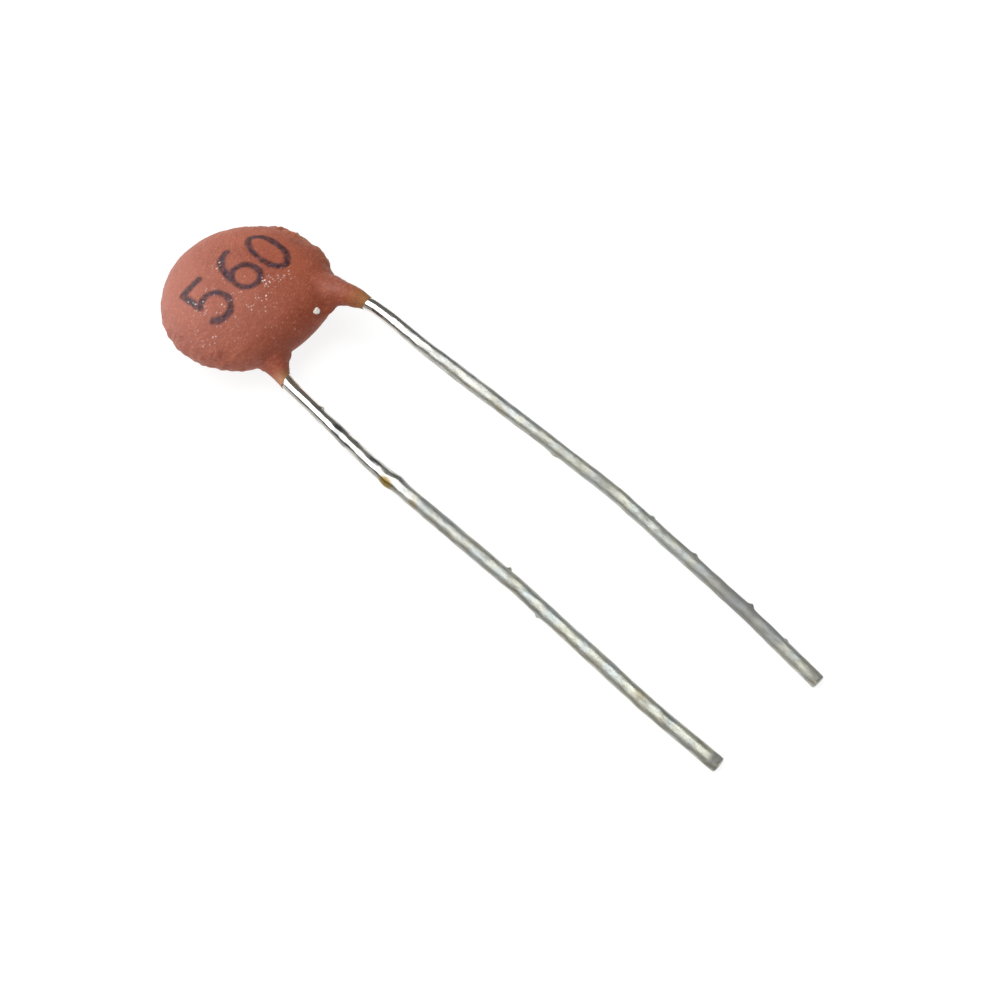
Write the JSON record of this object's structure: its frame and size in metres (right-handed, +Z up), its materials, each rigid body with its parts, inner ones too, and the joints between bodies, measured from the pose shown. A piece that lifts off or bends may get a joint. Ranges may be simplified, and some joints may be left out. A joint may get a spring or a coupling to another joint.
{
  "type": "ceramic disc capacitor",
  "caption": "Small ceramic disc capacitor: a lens-shaped, resin-dipped body with legs of resin down long tinned wire leads, for through-hole circuit boards.",
  "frame": {"origin": "on the surface the part lies on, under the middle of its box in plan", "axes": "+Y from the lead tips towards the disc, +Z up through the front face of the disc, +X across the leads to the one on the front face"},
  "size_m": [0.0068, 0.0278, 0.0026],
  "materials": {
    "resin": "satin, finely grained",
    "ceramic": "matt, fired",
    "silver_film": "fired silver film",
    "solder": "dull",
    "tinned_wire": "bright tinned, frosted in places"
  },
  "bodies": {
    "root": {"resin_coating": "resin", "ceramic_disc": "ceramic", "front_electrode": "silver_film", "rear_electrode": "silver_film", "front_solder": "solder", "rear_solder": "solder", "right_lead": "tinned_wire", "left_lead": "tinned_wire"}
  },
  "joints": []
}
